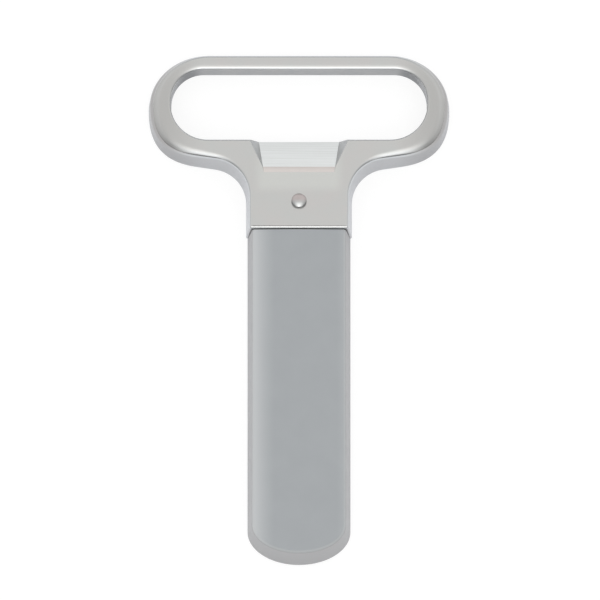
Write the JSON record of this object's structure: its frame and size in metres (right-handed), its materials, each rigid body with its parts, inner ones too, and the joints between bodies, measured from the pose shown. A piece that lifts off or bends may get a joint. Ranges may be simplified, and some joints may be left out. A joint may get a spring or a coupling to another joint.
{
  "type": "two-prong cork puller",
  "caption": "Flat finger-loop handle with a cap lifter and two spring prongs that slide down beside a cork, under a pull-off sheath.",
  "frame": {"origin": "middle of the box's underside, which is the plane that the tool lies on", "axes": "+Y towards the finger loop, +X across the loop, +Z out of the front face"},
  "size_m": [0.0798, 0.1364, 0.0135],
  "materials": {
    "satin_nickel": "satin nickel plating on a zinc casting",
    "rivet_nickel": "satin nickel plating on steel",
    "block_zinc": "plain zinc casting",
    "spring_steel": "polished spring steel",
    "grey_plastic": "moulded satin grey"
  },
  "bodies": {
    "handle": {"handle": "satin_nickel", "rivet": "rivet_nickel", "prong_block": "block_zinc"},
    "long_prong": {"long_prong": "spring_steel"},
    "short_prong": {"short_prong": "spring_steel"},
    "sheath": {"sheath": "grey_plastic"}
  },
  "joints": [
    {"name": "sheath_slide", "type": "slide", "parent": "handle", "child": "sheath", "axis": [0, -1, 0], "range_m": [0, 0.09]},
    {"name": "long_prong_flex", "type": "hinge", "parent": "handle", "child": "long_prong", "pos_m": [0.00936, 0.0248, 0.00625], "axis": [0, 0, -1], "range_deg": [0, 2.2], "stiffness_Nm_per_rad": 2.5},
    {"name": "short_prong_flex", "type": "hinge", "parent": "handle", "child": "short_prong", "pos_m": [-0.00936, 0.0248, 0.00625], "axis": [0, 0, 1], "range_deg": [0, 2.2], "stiffness_Nm_per_rad": 2.5}
  ]
}
